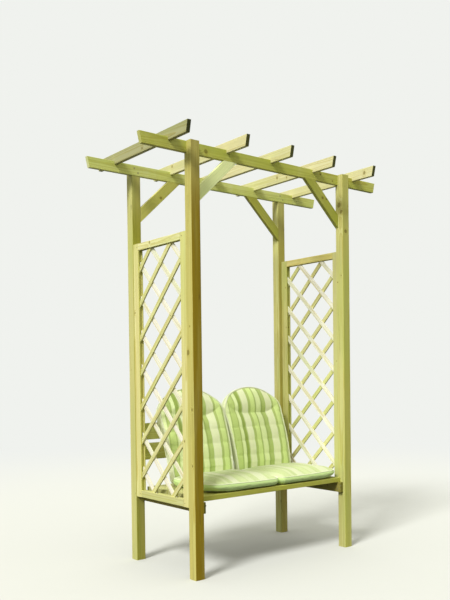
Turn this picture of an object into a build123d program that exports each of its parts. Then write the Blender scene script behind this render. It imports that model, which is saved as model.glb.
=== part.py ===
# Wooden garden pergola with a bench between its side trellises and four striped cushions.
# Millimetres, +Z up, origin on the ground at the middle of the plan, front towards -Y.
from build123d import *
import os
from math import atan2, cos, radians, sin, tan

# Posts: square section, one at each corner
post_side = 56
post_height = 2200
post_gap_x = 1040
post_gap_y = 500
post_arris = 4

# Boards of the roof: beams, rafters and braces share one section
board_thick = 22
board_deep = 58
board_arris = 2
joint_play = 0.3

# Beams: let into the posts at the top, ends cut on a slant
housing_deep = 20
beam_length = 1700
beam_end_slant = 13

# Rafters: cross-halved over the beams, one at the middle and the others unevenly spaced.
# An end rafter's share is of the beam's overhang past the post, an inner one's of half the bay.
left_end_rafter_share = 0.36
left_inner_rafter_share = 0.592
right_inner_rafter_share = 0.62
right_end_rafter_share = 0.29
rafter_length = 870
rafter_end_slant = 13
halving_deep = 17

# Braces: mitred at both ends, reaching a little less down the post than along the beam
brace_reach = 270
brace_drop = 252

# Side trellises: a grooved frame around two layers of diagonal slats
panel_inset = 3
panel_thick = 30
panel_bottom = 360
panel_top = 1757
stile_wide = 50
rail_deep = 38
groove_deep = 8
slat_wide = 24
slat_thick = 8
slat_cells = 7
slat_angle = 45
frame_arris = 2

# Bench: bearers on the posts' inner sides, boards across them, two boards behind
seat_top = 412
seat_board_thick = 26
seat_board_wide = 92
seat_board_gap = 8
seat_board_count = 5
seat_front_inset = 36
bearer_end_inset = 16
back_board_wide = 92
back_board_gap = 20
back_board_count = 2
back_top = 765

# Cushions: plain closed shapes
soft_gap = 0.3
seat_cushion_wide = 474
seat_cushion_thick = 54
seat_cushion_overhang = 4
seat_cushion_outer_corner = 100
seat_cushion_joint_corner = 50
seat_cushion_back_corner = 20
seat_cushion_shift = 38
back_cushion_wide = 464
back_cushion_foot = 446
back_cushion_foot_shift = 18
back_cushion_thick = 56
back_cushion_tall = 550
back_cushion_crown = 165
back_cushion_shift = 8
back_recline = 12

# Places worked out from the sizes above
post_x = (post_gap_x + post_side) / 2
post_y = (post_gap_y + post_side) / 2
inner_y = post_gap_y / 2
beam_face_y = inner_y + housing_deep
beam_y = beam_face_y - board_thick / 2
beam_bottom = post_height - board_deep
rafter_bottom = post_height - halving_deep
rafter_top = rafter_bottom + board_deep
half_bay = post_gap_x / 2
post_outer_x = half_bay + post_side
overhang = beam_length / 2 - post_outer_x
rafter_places = [
    -post_outer_x - left_end_rafter_share * overhang,
    -left_inner_rafter_share * half_bay,
    0,
    right_inner_rafter_share * half_bay,
    post_outer_x + right_end_rafter_share * overhang,
]
panel_outer_x = post_outer_x - panel_inset
panel_mid_x = panel_outer_x - panel_thick / 2
opening_half = inner_y - stile_wide
seat_bottom = seat_top - seat_board_thick
seat_front = -(post_y + post_side / 2) + seat_front_inset
back_board_face = inner_y - board_thick

os.makedirs("parts", exist_ok=True)


def save(builder, name):
    builder.part.label = name
    export_step(builder.part, f"parts/{name}.step")


# Posts, each notched at the top of its inner face to take a beam
for side, sx in (("left", -1), ("right", 1)):
    for end, sy in (("front", -1), ("back", 1)):
        with BuildPart() as post:
            with BuildSketch(Plane.XY) as post_section:
                with Locations((sx * post_x, sy * post_y)):
                    RectangleRounded(post_side, post_side, post_arris)
            extrude(amount=post_height)
            with BuildSketch(Plane.XY.offset(beam_bottom)) as housing:
                with Locations((sx * post_x, sy * beam_y)):
                    Rectangle(post_side * 2, board_thick)
            extrude(amount=board_deep, mode=Mode.SUBTRACT)
        save(post, f"{end}_{side}_post")


def slanted_ends(length, bottom, top, slant):
    # Corners of a board seen from its side, its two ends cut back towards the bottom edge
    half = length / 2
    return [(-half, top), (half, top), (half - slant, bottom), (-half + slant, bottom)]


# Beams along X, cut from a board with eased edges, with a shallow notch for each rafter
beam_corners = slanted_ends(beam_length, beam_bottom, post_height, beam_end_slant)
for end, sy in (("front", -1), ("back", 1)):
    with BuildPart() as beam:
        with BuildSketch(Plane.YZ.offset(-beam_length / 2)) as beam_section:
            with Locations((sy * beam_y, beam_bottom + board_deep / 2)):
                RectangleRounded(board_thick, board_deep, board_arris)
        extrude(amount=beam_length)
        with BuildSketch(Plane.XZ.offset(-sy * beam_y)) as beam_side:
            with BuildLine():
                Polyline(*beam_corners, close=True)
            make_face()
        extrude(amount=board_thick, both=True, mode=Mode.INTERSECT)
        with BuildSketch(Plane.XY.offset(post_height)) as rafter_notches:
            with Locations([(x, sy * beam_y) for x in rafter_places]):
                Rectangle(board_thick + 2 * joint_play, board_thick * 2)
        extrude(amount=-halving_deep / 2, mode=Mode.SUBTRACT)
    save(beam, f"{end}_beam")

# Rafters along Y, each notched from below over both beams
rafter_corners = slanted_ends(rafter_length, rafter_bottom, rafter_top, rafter_end_slant)
for number, x in enumerate(rafter_places, start=1):
    with BuildPart() as rafter:
        with BuildSketch(Plane.XZ.offset(-rafter_length / 2)) as rafter_section:
            with Locations((x, (rafter_bottom + rafter_top) / 2)):
                RectangleRounded(board_thick, board_deep, board_arris)
        extrude(amount=rafter_length)
        with BuildSketch(Plane.YZ.offset(x)) as rafter_side:
            with BuildLine():
                Polyline(*rafter_corners, close=True)
            make_face()
        extrude(amount=board_thick, both=True, mode=Mode.INTERSECT)
        with BuildSketch(Plane.XY.offset(rafter_bottom)) as beam_notches:
            with Locations((x, -beam_y), (x, beam_y)):
                Rectangle(board_thick * 2, board_thick + 2 * joint_play)
        extrude(amount=halving_deep / 2, mode=Mode.SUBTRACT)
    save(rafter, f"rafter_{number}")

# Braces between a post's inner side and the beam's underside, in line with the beam
brace_angle = atan2(brace_drop, brace_reach)
beam_cut = board_deep / sin(brace_angle)
post_cut = board_deep / cos(brace_angle)
for side, sx in (("left", -1), ("right", 1)):
    for end, sy in (("front", -1), ("back", 1)):
        post_face = sx * half_bay
        with BuildPart() as brace:
            with BuildSketch(Plane.XZ.offset(-sy * beam_y)) as brace_side:
                with BuildLine():
                    Polyline(
                        (post_face, beam_bottom - brace_drop),
                        (post_face - sx * brace_reach, beam_bottom),
                        (post_face - sx * (brace_reach - beam_cut), beam_bottom),
                        (post_face, beam_bottom - brace_drop + post_cut),
                        close=True,
                    )
                make_face()
            extrude(amount=board_thick / 2, both=True)
            four_long_edges = brace.edges().sort_by(SortBy.LENGTH)[-4:]
            fillet(four_long_edges, board_arris)
        save(brace, f"{end}_{side}_brace")

# Trellis frames: the groove holds the ends of the slats and the stub tenons of the rails
slat_layers = 2 * slat_thick
groove_wide = slat_layers + 2 * joint_play
frame_tall = panel_top - panel_bottom
rail_long = 2 * opening_half
for side, sx in (("left", -1), ("right", 1)):
    for end, sy in (("front", -1), ("back", 1)):
        with BuildPart() as stile:
            with BuildSketch(Plane.XY.offset(panel_bottom)) as stile_section:
                with Locations((sx * panel_mid_x, sy * (inner_y - stile_wide / 2))):
                    RectangleRounded(panel_thick, stile_wide, frame_arris)
                with Locations((sx * panel_mid_x, sy * opening_half)):
                    Rectangle(groove_wide, 2 * groove_deep, mode=Mode.SUBTRACT)
            extrude(amount=frame_tall)
        save(stile, f"{side}_trellis_{end}_stile")
    for level, outer_edge, inward in (("bottom", panel_bottom, 1), ("top", panel_top, -1)):
        rail_mid = outer_edge + inward * rail_deep / 2
        with BuildPart() as rail:
            with BuildSketch(Plane.XZ.offset(-opening_half)) as rail_section:
                with Locations((sx * panel_mid_x, rail_mid)):
                    RectangleRounded(panel_thick, rail_deep, frame_arris)
                with Locations((sx * panel_mid_x, rail_mid + inward * rail_deep / 2)):
                    Rectangle(groove_wide, 2 * groove_deep, mode=Mode.SUBTRACT)
            extrude(amount=rail_long)
            with BuildSketch(Plane.XZ.offset(-opening_half - groove_deep + joint_play)) as tenon_section:
                with Locations((sx * panel_mid_x, rail_mid - inward * groove_deep / 2)):
                    Rectangle(slat_layers, rail_deep - groove_deep)
            extrude(amount=rail_long + 2 * (groove_deep - joint_play))
        save(rail, f"{side}_trellis_{level}_rail")

# Trellis slats: an outer layer that rises towards the front and an inner one that falls.
# Their crossings lie on the middle line and on the inner edges of the rails.
# A stub in a corner that crosses no other slat is left out.
slat_room_y = 2 * (opening_half + groove_deep - joint_play)
opening_tall = frame_tall - 2 * rail_deep
slat_room_z = opening_tall + 2 * (groove_deep - joint_play)
slat_pitch = opening_tall / slat_cells
slat_run = slat_room_y + slat_room_z
extra_turns = int(slat_room_y / slat_pitch) + 1
first_cross_z = panel_top - rail_deep - slat_pitch / 2
cross_heights = [first_cross_z - cell * slat_pitch for cell in range(-extra_turns, slat_cells + extra_turns)]
for side, sx in (("left", -1), ("right", 1)):
    with BuildPart() as crossed_slats:
        for layer_face, slope in ((panel_mid_x + slat_thick, -slat_angle), (panel_mid_x, slat_angle)):
            with BuildSketch(Plane.YZ.offset(sx * layer_face)) as slats:
                with Locations([(0, cross_z) for cross_z in cross_heights]):
                    Rectangle(slat_run, slat_wide, rotation=slope)
                with Locations((0, (panel_bottom + panel_top) / 2)):
                    Rectangle(slat_room_y, slat_room_z, mode=Mode.INTERSECT)
            extrude(amount=-sx * slat_thick)
    with BuildPart() as lattice:
        add(crossed_slats.solids().sort_by(SortBy.VOLUME)[-1])
    save(lattice, f"{side}_trellis_lattice")

# Seat bearers, one against the inner sides of each pair of posts
bearer_long = 2 * (post_y + post_side / 2 - bearer_end_inset)
for side, sx in (("left", -1), ("right", 1)):
    with BuildPart() as bearer:
        with BuildSketch(Plane.XZ.offset(-bearer_long / 2)) as bearer_section:
            with Locations((sx * (post_gap_x - board_thick) / 2, seat_bottom - board_deep / 2)):
                RectangleRounded(board_thick, board_deep, board_arris)
        extrude(amount=bearer_long)
    save(bearer, f"{side}_seat_bearer")

# Seat boards, laid flat across the bearers
for number in range(seat_board_count):
    board_y = seat_front + seat_board_wide / 2 + number * (seat_board_wide + seat_board_gap)
    with BuildPart() as seat_board:
        with BuildSketch(Plane.YZ.offset(-post_gap_x / 2)) as seat_section:
            with Locations((board_y, seat_top - seat_board_thick / 2)):
                RectangleRounded(seat_board_wide, seat_board_thick, board_arris)
        extrude(amount=post_gap_x)
    save(seat_board, f"seat_board_{number + 1}")

# Back boards, on the front faces of the back posts, between the trellises
back_board_long = 2 * (panel_outer_x - panel_thick - joint_play)
for number in range(back_board_count):
    board_z = back_top - back_board_wide / 2 - number * (back_board_wide + back_board_gap)
    with BuildPart() as back_board:
        with BuildSketch(Plane.YZ.offset(-back_board_long / 2)) as back_section:
            with Locations((inner_y - board_thick / 2, board_z)):
                RectangleRounded(board_thick, back_board_wide, board_arris)
        extrude(amount=back_board_long)
    save(back_board, f"back_board_{number + 1}")

# Cushions that lean back: foot on the seat boards, back against the upper back board
lean = radians(back_recline)
foot_z = seat_top + soft_gap + back_cushion_thick * sin(lean)
heel_y = back_board_face - soft_gap - (back_top - seat_top - soft_gap) * tan(lean)
foot_y = heel_y - back_cushion_thick * cos(lean)
shoulder = back_cushion_tall - back_cushion_crown
foot_left = back_cushion_foot_shift - back_cushion_foot / 2
foot_right = back_cushion_foot_shift + back_cushion_foot / 2
for side, sx in (("left", -1), ("right", 1)):
    middle_x = back_cushion_shift + sx * (back_cushion_wide + soft_gap) / 2
    face = Plane(origin=(middle_x, foot_y, foot_z), x_dir=(1, 0, 0), z_dir=(0, -cos(lean), sin(lean)))
    with BuildPart() as back_cushion:
        with BuildSketch(face) as back_outline:
            with BuildLine():
                Line((-back_cushion_wide / 2, shoulder), (foot_left, 0))
                Line((foot_left, 0), (foot_right, 0))
                Line((foot_right, 0), (back_cushion_wide / 2, shoulder))
                EllipticalCenterArc(
                    (0, shoulder),
                    back_cushion_wide / 2,
                    back_cushion_crown,
                    start_angle=0,
                    arc_size=180,
                )
            make_face()
        extrude(amount=-back_cushion_thick)
    save(back_cushion, f"{side}_back_cushion")

# Seat cushions: from the front edge of the seat to the foot of the back cushions.
# The front corner away from the other cushion is the rounder one.
cushion_front = seat_front - seat_cushion_overhang
cushion_back = foot_y - soft_gap
cushion_long = cushion_back - cushion_front
for side, sx in (("left", -1), ("right", 1)):
    middle_x = seat_cushion_shift + sx * (seat_cushion_wide + soft_gap) / 2
    with BuildPart() as seat_cushion:
        with BuildSketch(Plane.XY.offset(seat_top + soft_gap)) as seat_outline:
            with Locations((middle_x, (cushion_front + cushion_back) / 2)):
                Rectangle(seat_cushion_wide, cushion_long)
            fillet(seat_outline.vertices().group_by(Axis.Y)[-1], seat_cushion_back_corner)
            for place, radius in ((0, seat_cushion_joint_corner), (-1, seat_cushion_outer_corner)):
                front_corners = seat_outline.vertices().group_by(Axis.Y)[0]
                fillet(front_corners.sort_by(Axis.X, reverse=sx < 0)[place], radius)
        extrude(amount=seat_cushion_thick)
    save(seat_cushion, f"{side}_seat_cushion")
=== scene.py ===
import math
import random

import bpy
import numpy as np
from bpy.props import FloatProperty, FloatVectorProperty, IntProperty, PointerProperty
from mathutils import Matrix, Vector, noise


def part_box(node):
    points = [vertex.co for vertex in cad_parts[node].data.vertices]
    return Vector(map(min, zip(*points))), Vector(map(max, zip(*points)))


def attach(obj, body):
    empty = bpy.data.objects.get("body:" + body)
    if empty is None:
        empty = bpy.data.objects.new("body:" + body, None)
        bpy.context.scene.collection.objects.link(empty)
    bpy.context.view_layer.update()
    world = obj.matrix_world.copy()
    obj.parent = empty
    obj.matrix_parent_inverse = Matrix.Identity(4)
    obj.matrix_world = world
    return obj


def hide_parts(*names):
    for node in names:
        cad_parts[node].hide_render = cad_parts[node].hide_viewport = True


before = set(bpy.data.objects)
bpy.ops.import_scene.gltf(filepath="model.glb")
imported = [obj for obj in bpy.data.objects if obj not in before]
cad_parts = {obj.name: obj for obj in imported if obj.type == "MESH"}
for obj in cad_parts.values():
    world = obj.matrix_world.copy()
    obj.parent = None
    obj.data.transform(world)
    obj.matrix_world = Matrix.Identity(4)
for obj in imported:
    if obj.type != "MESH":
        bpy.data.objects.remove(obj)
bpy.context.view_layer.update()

bl_info = {
    "name": "Garden pergola with a bench",
    "version": (1, 0, 0),
    "blender": (4, 5, 0),
    "location": "3D View > Sidebar > Pergola",
    "description": "Dresses the pergola frame: pine finish, screws, staples, striped cushions and a stage",
    "category": "Object",
}

SIDES = (("left", -1), ("right", 1))
ENDS = (("front", -1), ("back", 1))
X, Y, Z = Vector((1, 0, 0)), Vector((0, 1, 0)), Vector((0, 0, 1))
# A point this near to a line or a level counts as on it
CLOSE, LEVEL = 1e-4, 1e-5
# First seeds of the chance that turns the staples and nails and that places the piths
STAPLE_SEED, NAIL_SEED, PITH_SEED = 20, 30, 1000


def screen_colour(*levels):
    """A colour given as it looks on a screen, 0 to 255, as the linear colour that a shader takes."""
    shares = [level / 255 for level in levels]
    return tuple(part / 12.92 if part <= 0.04045 else ((part + 0.055) / 1.055) ** 2.4 for part in shares)


def colour_property(name, description, *levels):
    return FloatVectorProperty(
        name=name, description=description, subtype="COLOR", size=3, min=0, max=1,
        default=screen_colour(*levels),
    )


def number_property(name, description, default, **more):
    return FloatProperty(name=name, description=description, default=default, min=0, **more)


def length_property(name, description, default):
    return number_property(name, description, default, subtype="DISTANCE", unit="LENGTH")


def angle_property(name, description, degrees):
    return FloatProperty(name=name, description=description, default=math.radians(degrees), subtype="ANGLE")


class PineFinish(bpy.types.PropertyGroup):
    """Pressure-treated pine"""

    early: colour_property("Early wood", "Pale wood between the rings", 202, 201, 141)
    late: colour_property("Late wood", "Darker line of each ring", 182, 173, 96)
    tint: colour_property("Treatment tint", "Greenish patches left by the treatment", 187, 193, 118)
    knot: colour_property("Knot", "Heart of a knot", 124, 112, 48)
    ring_width: length_property("Ring width", "Distance from one ring to the next", 0.0042)
    roughness: number_property("Roughness", "Roughness of the planed faces", 0.72, max=1)


class Fixings(bpy.types.PropertyGroup):
    """Screws, nails and staples"""

    screw_head: length_property("Screw head", "Diameter of a countersunk head", 0.0085)
    nail_head: length_property("Nail head", "Diameter of the nails in the trellis frames", 0.005)
    staple_crown: length_property("Staple crown", "Length of the staples in the lattices", 0.011)
    steel: colour_property("Steel", "Dulled zinc-plated steel", 150, 144, 112)


class CushionCloth(bpy.types.PropertyGroup):
    """Striped cushions"""

    pale: colour_property("Pale stripe", "Widest stripes and the ground of the cloth", 247, 255, 209)
    medium: colour_property("Green stripe", "Broad green stripes", 226, 248, 158)
    # The seat band's green is partly painted shade and painted green light thrown up from below
    band: colour_property("Side band", "Plain strip round the seat cushions", 206, 234, 154)
    deep: colour_property("Olive stripe", "Narrow dark stripes", 150, 173, 76)
    piping: colour_property("Piping", "Cord sewn into the rims", 240, 246, 212)
    piping_thick: length_property("Piping thickness", "Diameter of the piping", 0.006)
    mesh_size: length_property("Cloth mesh", "Edge length of the simulated cloth", 0.0055)
    pressure: number_property("Filling pressure", "Pressure of the filling", 4)
    frames: IntProperty(
        name="Filling steps", description="Frames for which the filling swells", default=20, min=1,
    )


class StageSet(bpy.types.PropertyGroup):
    """Camera, lights and floor"""

    lens: number_property("Lens", "Focal length on a 36 mm sensor, in millimetres", 44.44)
    raised: number_property("Shift up", "Upward shift of the lens", 0.148)
    camera: FloatVectorProperty(
        name="Camera", description="Place of the camera", subtype="TRANSLATION", unit="LENGTH",
        default=(-2.7454, -3.2880, 1.0305),
    )
    yaw: angle_property("Turn", "Turn to the right of straight ahead", 38.4586)
    pitch: angle_property("Tilt", "Tilt above the horizon", -1.0787)
    roll: angle_property("Roll", "Roll of the camera", -0.7075)
    key: number_property("Key light", "Strength of the soft sun", 3.14)
    sky: number_property("Sky light", "Strength of the light from all round", 0.82)
    bounce: number_property("Floor bounce", "Share of light the floor throws up", 0.05, max=1)
    backdrop: colour_property("Backdrop", "Colour of the floor and of what is behind", 240, 242, 238)


# Nodes of a material


def set_values(thing, values):
    for key, value in values.items():
        setattr(thing, key, value)


def set_inputs(inputs, values):
    """Joins inputs to outputs of other nodes, or sets them to plain values."""
    for key, value in dict(values).items():
        if isinstance(value, bpy.types.NodeSocket):
            value.id_data.links.new(value, inputs[key])
        else:
            inputs[key].default_value = value


def add_node(tree, kind, inputs=(), **settings):
    made = tree.nodes.new(kind)
    set_values(made, settings)
    set_inputs(made.inputs, inputs)
    return made


def tree_of(*values):
    """The tree that holds the first socket among the values."""
    return next(value.id_data for value in values if isinstance(value, bpy.types.NodeSocket))


def do_math(operation, *values):
    return add_node(tree_of(*values), "ShaderNodeMath", enumerate(values), operation=operation).outputs[0]


def times(product, *factors):
    for factor in factors:
        product = do_math("MULTIPLY", product, factor)
    return product


def scale_add(value, factor, offset):
    return do_math("MULTIPLY_ADD", value, factor, offset)


def do_vector(operation, *values, out=0):
    made = add_node(tree_of(*values), "ShaderNodeVectorMath", enumerate(values), operation=operation)
    return made.outputs[out]


def length_of(vector):
    return do_vector("LENGTH", vector, out="Value")


def parts_of(vector):
    return add_node(tree_of(vector), "ShaderNodeSeparateXYZ", {0: vector}).outputs


def texture_place(tree, kind="Object"):
    return add_node(tree, "ShaderNodeTexCoord").outputs[kind]


def facing(tree, direction):
    """How squarely the surface faces a direction, from -1 to 1."""
    return do_vector("DOT_PRODUCT", texture_place(tree, "Normal"), tuple(direction), out="Value")


def stretched_noise(place, stretch, detail=2.0, roughness=0.5):
    """Noise whose grain is as long and as wide as stretch says, in patches per metre."""
    spread = do_vector("MULTIPLY", place, stretch)
    inputs = {"Vector": spread, "Scale": 1.0, "Detail": detail, "Roughness": roughness}
    return add_node(tree_of(place), "ShaderNodeTexNoise", inputs).outputs["Fac"]


def smooth_step(value, low, high):
    inputs = {"Value": value, "From Min": low, "From Max": high, "To Min": 0.0, "To Max": 1.0}
    made = add_node(tree_of(value), "ShaderNodeMapRange", inputs, interpolation_type="SMOOTHSTEP")
    return made.outputs["Result"]


def fade_out(value, low, high):
    return do_math("SUBTRACT", 1.0, smooth_step(value, low, high))


def opaque(colour):
    return colour if isinstance(colour, bpy.types.NodeSocket) else (*colour[:3], 1)


def dimmed(colour, share):
    return tuple(share * part for part in colour)


def mix_colours(factor, first, second, blend_type="MIX"):
    """The inputs 6 and 7 of a Mix node are its two colours."""
    inputs = {0: factor, 6: opaque(first), 7: opaque(second)}
    tree = tree_of(factor, first, second)
    return add_node(tree, "ShaderNodeMix", inputs, data_type="RGBA", blend_type=blend_type).outputs[2]


def multiplied(colour, tint):
    return mix_colours(1.0, colour, tint, "MULTIPLY")


def shaded(colour, *patterns):
    """A colour made lighter and darker by patterns, each given with its swing and its least shade."""
    grey = times(*(scale_add(*pattern) for pattern in patterns))
    shade = add_node(tree_of(grey), "ShaderNodeCombineColor", {0: grey, 1: grey, 2: grey}).outputs[0]
    return multiplied(colour, shade)


def colour_ramp(factor, stops):
    """Colours along a line; stops are (place, colour) pairs in order."""
    ramp = add_node(tree_of(factor), "ShaderNodeValToRGB", {"Fac": factor})
    elements = ramp.color_ramp.elements
    while len(elements) < len(stops):
        elements.new(1.0)
    for element, (place, colour) in zip(elements, stops):
        element.position = place
        element.color = opaque(colour)
    return ramp.outputs["Color"]


def bumped(height, strength, depth):
    inputs = {"Height": height, "Strength": strength, "Distance": depth}
    return add_node(tree_of(height), "ShaderNodeBump", inputs).outputs["Normal"]


def mixed_shaders(factor, first, second):
    return add_node(tree_of(factor), "ShaderNodeMixShader", {0: factor, 1: first, 2: second}).outputs[0]


def new_group(name, inputs, outputs):
    """An empty node group, what it is given and what it results in."""
    tree = bpy.data.node_groups.new(name, "ShaderNodeTree")
    for in_out, sockets in (("INPUT", inputs), ("OUTPUT", outputs)):
        for label, kind in sockets.items():
            tree.interface.new_socket(label, in_out=in_out, socket_type=f"NodeSocket{kind}")
    return tree, tree.nodes.new("NodeGroupInput").outputs, tree.nodes.new("NodeGroupOutput").inputs


def use_group(tree, group, inputs):
    return add_node(tree, "ShaderNodeGroup", inputs, node_tree=group).outputs


def new_material(name):
    material = bpy.data.materials.new(name)
    material.use_nodes = True
    tree = material.node_tree
    tree.nodes.clear()
    shader = add_node(tree, "ShaderNodeBsdfPrincipled")
    add_node(tree, "ShaderNodeOutputMaterial", {"Surface": shader.outputs["BSDF"]})
    return material, tree, shader


# Pine


def grain_group(finish):
    """Growth rings round a pith, fibres, treatment patches, knots, drying cracks, and end faces darkened as end
    grain and painted shade.
    Place is in metres along, across and through the board."""
    tree, given, result = new_group(
        "pine_grain",
        {"Place": "Vector", "Pith": "Vector", "Seed": "Float", "Knot": "Float", "Cracks": "Float",
         "End grain and shade": "Float"},
        {"Colour": "Color", "Roughness": "Float", "Height": "Float"},
    )
    place, knot, end = given["Place"], given["Knot"], given["End grain and shade"]
    seeded = {"Vector": (7.31, 3.17, 5.53), "Scale": given["Seed"]}
    jump = add_node(tree, "ShaderNodeVectorMath", seeded, operation="SCALE").outputs[0]
    moved = do_vector("ADD", place, jump)

    sway = stretched_noise(moved, (1.3, 7.0, 7.0))
    waver = stretched_noise(moved, (5.0, 40.0, 40.0))
    round_knot = do_math("EXPONENT", times(knot, knot, -0.35))
    radius = length_of(do_vector("MULTIPLY", do_vector("SUBTRACT", place, given["Pith"]), (0.0, 1.0, 1.0)))
    for pattern, push in ((sway, 0.022), (waver, 0.0022), (round_knot, 0.009)):
        radius = scale_add(pattern, push, radius)
    ring = do_math("FRACT", do_math("DIVIDE", radius, finish.ring_width))
    strength = scale_add(stretched_noise(moved, (0.8, 11.0, 11.0)), 1.1, 0.15)
    lateness = times(smooth_step(ring, 0.35, 0.86), fade_out(ring, 0.92, 1.0), strength)
    colour = mix_colours(lateness, finish.early, finish.late)

    patches = smooth_step(stretched_noise(moved, (1.5, 9.0, 9.0), detail=3.0), 0.42, 0.72)
    colour = mix_colours(times(patches, 0.75), colour, finish.tint)
    streaks = stretched_noise(moved, (2.2, 75.0, 75.0), detail=4.0, roughness=0.6)
    fibres = stretched_noise(moved, (11.0, 620.0, 620.0))
    colour = shaded(colour, (streaks, 0.38, 0.81), (fibres, 0.12, 0.94))

    halo, in_heart = fade_out(knot, 1.0, 2.4), fade_out(knot, 0.82, 1.12)
    colour = mix_colours(times(halo, 0.4), colour, finish.late)
    knot_rings = do_math("FRACT", scale_add(knot, 4.5, waver))
    heart = mix_colours(knot_rings, finish.knot, dimmed(finish.knot, 0.65))
    colour = mix_colours(times(in_heart, 0.7), colour, heart)

    crack_field = stretched_noise(moved, (1.1, 26.0, 26.0), detail=0.0)
    from_crack = do_math("ABSOLUTE", do_math("SUBTRACT", crack_field, 0.5))
    crack_where = smooth_step(stretched_noise(moved, (2.6, 14.0, 14.0), detail=0.0), 0.6, 0.66)
    crack = times(fade_out(from_crack, 0.0015, 0.006), crack_where, given["Cracks"])
    colour = mix_colours(times(crack, 0.75), colour, dimmed(finish.knot, 0.3))

    rough = scale_add(streaks, 0.14, finish.roughness - 0.07)
    height = scale_add(streaks, 0.5, scale_add(lateness, 0.5, times(fibres, 0.7)))
    # End faces are darkened towards near black: partly end grain, and on the rafters mostly painted shade
    set_inputs(result, {
        "Colour": mix_colours(end, colour, multiplied(colour, (0.13, 0.14, 0.08))),
        "Roughness": scale_add(end, 0.12, rough),
        "Height": scale_add(crack, -4.0, height),
    })
    return tree


def knot_group():
    """How far a point is from a knot's middle line, in radii of the knot, or Other where that is nearer."""
    tree, given, result = new_group(
        "pine_knot",
        {"Place": "Vector", "Centre": "Vector", "Open": "Vector", "Radius": "Float", "Other": "Float"},
        {"Knot": "Float"},
    )
    place = given["Place"]
    wobble = stretched_noise(place, (55.0,) * 3, detail=1.0)
    across = do_vector("MULTIPLY", do_vector("SUBTRACT", place, given["Centre"]), given["Open"])
    away = times(do_math("DIVIDE", length_of(across), given["Radius"]), scale_add(wobble, 0.7, 0.65))
    set_inputs(result, {"Knot": do_math("MINIMUM", away, given["Other"])})
    return tree


def board_directions(name):
    """Unit vectors along and across the board that a node is."""
    if "brace" in name:
        low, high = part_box(name)
        size = high - low
        way = 1 if "left" in name else -1
        return Vector((way * size.x, 0, size.z)).normalized(), Vector((-way * size.z, 0, size.x)).normalized()
    if name.endswith(("post", "stile")):
        return Z, Y
    if name.startswith("seat_board"):
        return X, Y
    if name.endswith("beam") or name.startswith("back_board"):
        return X, Z
    return Y, Z


# Knots that show: (node, middle, direction through the board, radius), in metres
SEEN_KNOTS = (
    ("front_right_post", (0.520, -0.279, 2.024), "x", 0.013),
    ("front_right_post", (0.520, -0.294, 1.982), "x", 0.010),
    ("front_right_post", (0.545, -0.306, 1.868), "y", 0.011),
    ("front_right_brace", (0.391, -0.270, 2.050), "y", 0.008),
    ("front_right_brace", (0.423, -0.270, 2.046), "y", 0.006),
    ("front_beam", (0.376, -0.270, 2.184), "y", 0.006),
    ("front_beam", (0.475, -0.270, 2.159), "y", 0.005),
    ("front_beam", (-0.454, -0.270, 2.168), "y", 0.011),
    ("rafter_5", (0.645, -0.367, 2.213), "x", 0.009),
    ("rafter_4", (0.311, 0.030, 2.217), "x", 0.007),
    ("rafter_2", (-0.319, 0.229, 2.226), "x", 0.007),
    ("back_left_brace", (-0.500, 0.248, 2.030), "y", 0.007),
    ("back_left_brace", (-0.386, 0.248, 2.041), "y", 0.008),
    ("front_left_post", (-0.576, -0.262, 1.144), "x", 0.012),
    ("front_left_post", (-0.576, -0.290, 0.858), "x", 0.006),
    ("left_trellis_top_rail", (-0.573, 0.084, 1.748), "x", 0.006),
)
# How a knot spreads in x, y and z when it runs through a board in x, y or z
OPEN_ACROSS = {"x": (0.0, 1.0, 0.8), "y": (0.9, 0.0, 1.0), "z": (0.8, 1.0, 0.0)}
NO_KNOT = 9.0
LONG_BOARD = 0.5


def board_knots(name, seed):
    """The knots of a board: the ones that show in front, then a few more by chance."""
    knots = [(place, way, radius) for node, place, way, radius in SEEN_KNOTS if node == name]
    chance = random.Random(seed)
    low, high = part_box(name)
    size = high - low
    through = min(range(3), key=lambda axis: size[axis])
    for _ in range(chance.choice((0, 1, 1, 2)) if max(size) > LONG_BOARD else 0):
        place = tuple(low[axis] + size[axis] * chance.uniform(0.12, 0.88) for axis in range(3))
        knots.append((place, "xyz"[through], chance.uniform(0.0025, 0.0055)))
    return knots


# Stains that some boards took on, and painted shade on the seat bearers, as shares of red, green and blue
OLIVE, SAGE, UNDER_SEAT_SHADE = (0.80, 0.80, 0.48), (1.00, 0.98, 0.86), (0.49, 0.44, 0.22)
CREAM, STRAW = (1.17, 1.13, 1.42), (1.23, 1.18, 1.14)
STAINS = {
    "front_left_post": (0.97, 0.90, 0.60),
    "back_left_post": SAGE,
    "front_right_post": SAGE,
    "back_right_post": SAGE,
    "front_left_brace": (1.66, 1.80, 2.20),
    "back_left_brace": (1.06, 1.02, 0.90),
    "front_right_brace": OLIVE,
    "back_right_brace": OLIVE,
    "front_beam": (0.99, 1.00, 0.74),
    "back_beam": (1.24, 1.30, 1.48),
    "rafter_1": (0.66, 0.66, 0.72),
    "rafter_2": CREAM,
    "rafter_3": CREAM,
    "rafter_4": CREAM,
    "rafter_5": CREAM,
    "seat_board_1": (0.84, 0.85, 0.50),
    # Painted shade: the seat bearers stand in shade under the seat
    "left_seat_bearer": UNDER_SEAT_SHADE,
    "right_seat_bearer": UNDER_SEAT_SHADE,
    "left_trellis_front_stile": STRAW,
    "left_trellis_back_stile": STRAW,
    "left_trellis_top_rail": (1.28, 1.27, 1.42),
    "right_trellis_back_stile": SAGE,
    "right_trellis_top_rail": (1.20, 1.08, 0.90),
}
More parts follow.
